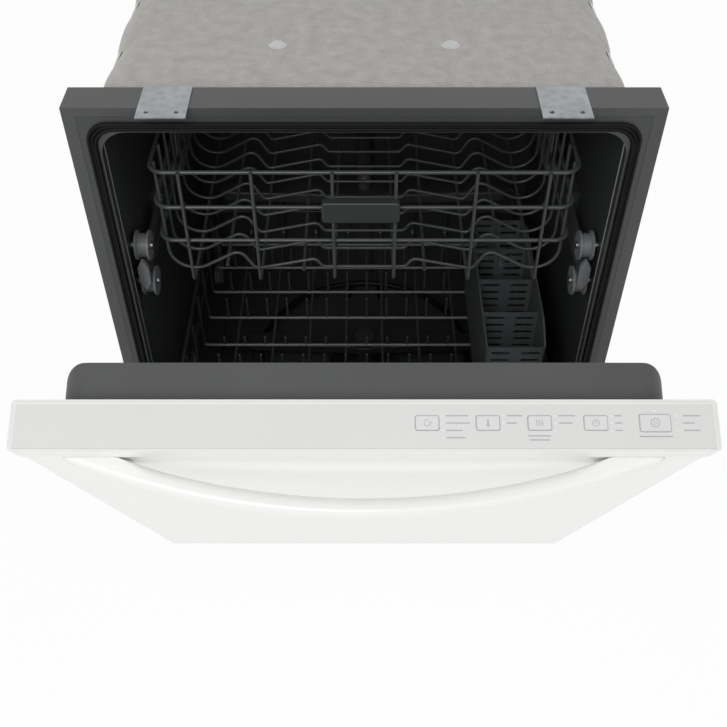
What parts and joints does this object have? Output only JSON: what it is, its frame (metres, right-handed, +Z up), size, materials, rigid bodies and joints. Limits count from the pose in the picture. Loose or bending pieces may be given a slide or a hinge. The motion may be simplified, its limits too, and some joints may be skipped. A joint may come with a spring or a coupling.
{
  "type": "built-in dishwasher",
  "caption": "Front-loading built-in dishwasher: dark tub, white drop-down door with top controls and a bow handle, wire racks, spray arms and a steel base.",
  "frame": {"origin": "on the floor, at the middle of the box that holds the machine with its door as in the picture", "axes": "+Z up, +X to the right of a person who faces the door, +Y into the machine"},
  "size_m": [0.606, 0.9273, 0.8635],
  "materials": {
    "tub_black": "satin moulded polypropylene",
    "seal_rubber": "matt",
    "frame_grey": "satin",
    "felt": "bonded felt",
    "galvanised": "galvanised",
    "zinc": "zinc plated",
    "steel": "plain",
    "kick_black": "satin",
    "black_plastic": "matt",
    "pump_grey": "matt",
    "feed_grey": "matt",
    "door_white": "gloss enamel",
    "console_white": "gloss",
    "overlay_grey": "satin film",
    "liner_grey": "matt moulded polypropylene",
    "light_clear": "frosted",
    "board_green": "solder mask",
    "dispenser_grey": "matt",
    "rail_grey": "anodised",
    "rack_grey": "nylon coating",
    "rack_handle_grey": "satin",
    "arm_grey": "matt",
    "roller_grey": "matt",
    "basket_grey": "matt",
    "filter_grey": "matt"
  },
  "bodies": {
    "cabinet": {"tub": "tub_black", "tub_gasket": "seal_rubber", "front_frame": "frame_grey", "insulation_blanket": "felt", "base_frame": "galvanised", "levelling_feet": "zinc", "toe_kick": "kick_black", "kick_screws": "zinc", "counter_brackets": "galvanised", "hinge_pins": "steel", "hinge_spring_cups": "kick_black", "door_strike": "black_plastic", "roller_pins": "steel", "rail_guides": "black_plastic", "sump": "black_plastic", "wash_pump": "pump_grey", "drain_pump": "pump_grey", "water_feed": "feed_grey", "heater_element": "steel", "water_valve": "pump_grey", "wiring_box": "galvanised"},
    "door": {"door_panel": "door_white", "door_handle": "door_white", "door_liner": "liner_grey", "hinge_arms": "steel", "console": "console_white", "indicator_lights": "light_clear", "console_overlay": "overlay_grey", "control_board": "board_green", "dispenser_housing": "dispenser_grey", "door_vent": "black_plastic", "door_latch": "steel", "liner_screws": "steel"},
    "upper_rails": {"rack_rails": "rail_grey", "rail_caps": "rack_grey"},
    "upper_rack": {"upper_rack": "rack_grey", "rack_handle": "rack_handle_grey", "rack_hangers": "rack_grey", "middle_feed_tube": "feed_grey"},
    "middle_arm": {"middle_spray_arm": "arm_grey"},
    "lower_rack": {"lower_rack": "rack_grey", "rack_tines": "rack_grey", "wheel_brackets": "roller_grey"},
    "basket": {"silverware_basket": "basket_grey"},
    "lower_arm": {"lower_spray_arm": "arm_grey"},
    "filter": {"filter_cup": "filter_grey"},
    "lid": {"dispenser_lid": "dispenser_grey"},
    "button_1": {"button_1": "overlay_grey"},
    "button_2": {"button_2": "overlay_grey"},
    "button_3": {"button_3": "overlay_grey"},
    "button_4": {"button_4": "overlay_grey"},
    "button_5": {"button_5": "overlay_grey"},
    "tub_roller_upper_left": {"tub_roller_upper_left": "roller_grey"},
    "tub_roller_lower_left": {"tub_roller_lower_left": "roller_grey"},
    "rack_wheel_front_left": {"rack_wheel_front_left": "roller_grey"},
    "rack_wheel_rear_left": {"rack_wheel_rear_left": "roller_grey"},
    "tub_roller_upper_right": {"tub_roller_upper_right": "roller_grey"},
    "tub_roller_lower_right": {"tub_roller_lower_right": "roller_grey"},
    "rack_wheel_front_right": {"rack_wheel_front_right": "roller_grey"},
    "rack_wheel_rear_right": {"rack_wheel_rear_right": "roller_grey"}
  },
  "joints": [
    {"name": "door_hinge", "type": "hinge", "parent": "cabinet", "child": "door", "pos_m": [0, -0.08529, 0.206], "axis": [1, 0, 0], "range_deg": [-27.6, 62.4]},
    {"name": "rail_slide", "type": "slide", "parent": "cabinet", "child": "upper_rails", "axis": [0, -1, 0], "range_m": [0, 0.195]},
    {"name": "upper_rack_slide", "type": "slide", "parent": "upper_rails", "child": "upper_rack", "axis": [0, -1, 0], "range_m": [0, 0.205]},
    {"name": "middle_arm_spin", "type": "hinge", "parent": "upper_rack", "child": "middle_arm", "pos_m": [0, 0.18471, 0.55118], "axis": [0, 0, 1], "continuous": true},
    {"name": "lower_rack_slide", "type": "slide", "parent": "cabinet", "child": "lower_rack", "axis": [0, -1, 0], "range_m": [0, 0.07]},
    {"name": "basket_lift", "type": "slide", "parent": "lower_rack", "child": "basket", "axis": [0, 0, 1], "range_m": [0, 0.07]},
    {"name": "lower_arm_spin", "type": "hinge", "parent": "cabinet", "child": "lower_arm", "pos_m": [0, 0.18471, 0.252], "axis": [0, 0, 1], "continuous": true},
    {"name": "filter_twist", "type": "hinge", "parent": "cabinet", "child": "filter", "pos_m": [0, 0.18471, 0.208], "axis": [0, 0, 1], "range_deg": [0, 90]},
    {"name": "dispenser_lid_hinge", "type": "hinge", "parent": "door", "child": "lid", "pos_m": [-0.0425, -0.23737, 0.54288], "axis": [1, 0, 0], "range_deg": [0, 110]},
    {"name": "button_1_press", "type": "slide", "parent": "door", "child": "button_1", "axis": [0, 0.4633, -0.8862], "range_m": [0, 0.0005], "stiffness_N_per_m": 800},
    {"name": "button_2_press", "type": "slide", "parent": "door", "child": "button_2", "axis": [0, 0.4633, -0.8862], "range_m": [0, 0.0005], "stiffness_N_per_m": 800},
    {"name": "button_3_press", "type": "slide", "parent": "door", "child": "button_3", "axis": [0, 0.4633, -0.8862], "range_m": [0, 0.0005], "stiffness_N_per_m": 800},
    {"name": "button_4_press", "type": "slide", "parent": "door", "child": "button_4", "axis": [0, 0.4633, -0.8862], "range_m": [0, 0.0005], "stiffness_N_per_m": 800},
    {"name": "button_5_press", "type": "slide", "parent": "door", "child": "button_5", "axis": [0, 0.4633, -0.8862], "range_m": [0, 0.0005], "stiffness_N_per_m": 800},
    {"name": "tub_roller_upper_left_spin", "type": "hinge", "parent": "cabinet", "child": "tub_roller_upper_left", "pos_m": [-0.271, -0.04629, 0.6455], "axis": [1, 0, 0], "range_deg": [-756, 0]},
    {"name": "tub_roller_lower_left_spin", "type": "hinge", "parent": "cabinet", "child": "tub_roller_lower_left", "pos_m": [-0.271, -0.04629, 0.5905], "axis": [1, 0, 0], "range_deg": [0, 756]},
    {"name": "rack_wheel_front_left_spin", "type": "hinge", "parent": "lower_rack", "child": "rack_wheel_front_left", "pos_m": [-0.25475, 0.06471, 0.2403], "axis": [1, 0, 0], "range_deg": [0, 221]},
    {"name": "rack_wheel_rear_left_spin", "type": "hinge", "parent": "lower_rack", "child": "rack_wheel_rear_left", "pos_m": [-0.25475, 0.37471, 0.2403], "axis": [1, 0, 0], "range_deg": [0, 221]},
    {"name": "tub_roller_upper_right_spin", "type": "hinge", "parent": "cabinet", "child": "tub_roller_upper_right", "pos_m": [0.271, -0.04629, 0.6455], "axis": [1, 0, 0], "range_deg": [-756, 0]},
    {"name": "tub_roller_lower_right_spin", "type": "hinge", "parent": "cabinet", "child": "tub_roller_lower_right", "pos_m": [0.271, -0.04629, 0.5905], "axis": [1, 0, 0], "range_deg": [0, 756]},
    {"name": "rack_wheel_front_right_spin", "type": "hinge", "parent": "lower_rack", "child": "rack_wheel_front_right", "pos_m": [0.25475, 0.06471, 0.2403], "axis": [1, 0, 0], "range_deg": [0, 221]},
    {"name": "rack_wheel_rear_right_spin", "type": "hinge", "parent": "lower_rack", "child": "rack_wheel_rear_right", "pos_m": [0.25475, 0.37471, 0.2403], "axis": [1, 0, 0], "range_deg": [0, 221]}
  ],
  "couplings": [
    {"joint": "tub_roller_upper_left_spin", "follows": "rail_slide", "rad_per_m": -67.568},
    {"joint": "tub_roller_lower_left_spin", "follows": "rail_slide", "rad_per_m": 67.568},
    {"joint": "rack_wheel_front_left_spin", "follows": "lower_rack_slide", "rad_per_m": 54.645},
    {"joint": "rack_wheel_rear_left_spin", "follows": "lower_rack_slide", "rad_per_m": 54.645},
    {"joint": "tub_roller_upper_right_spin", "follows": "rail_slide", "rad_per_m": -67.568},
    {"joint": "tub_roller_lower_right_spin", "follows": "rail_slide", "rad_per_m": 67.568},
    {"joint": "rack_wheel_front_right_spin", "follows": "lower_rack_slide", "rad_per_m": 54.645},
    {"joint": "rack_wheel_rear_right_spin", "follows": "lower_rack_slide", "rad_per_m": 54.645}
  ]
}
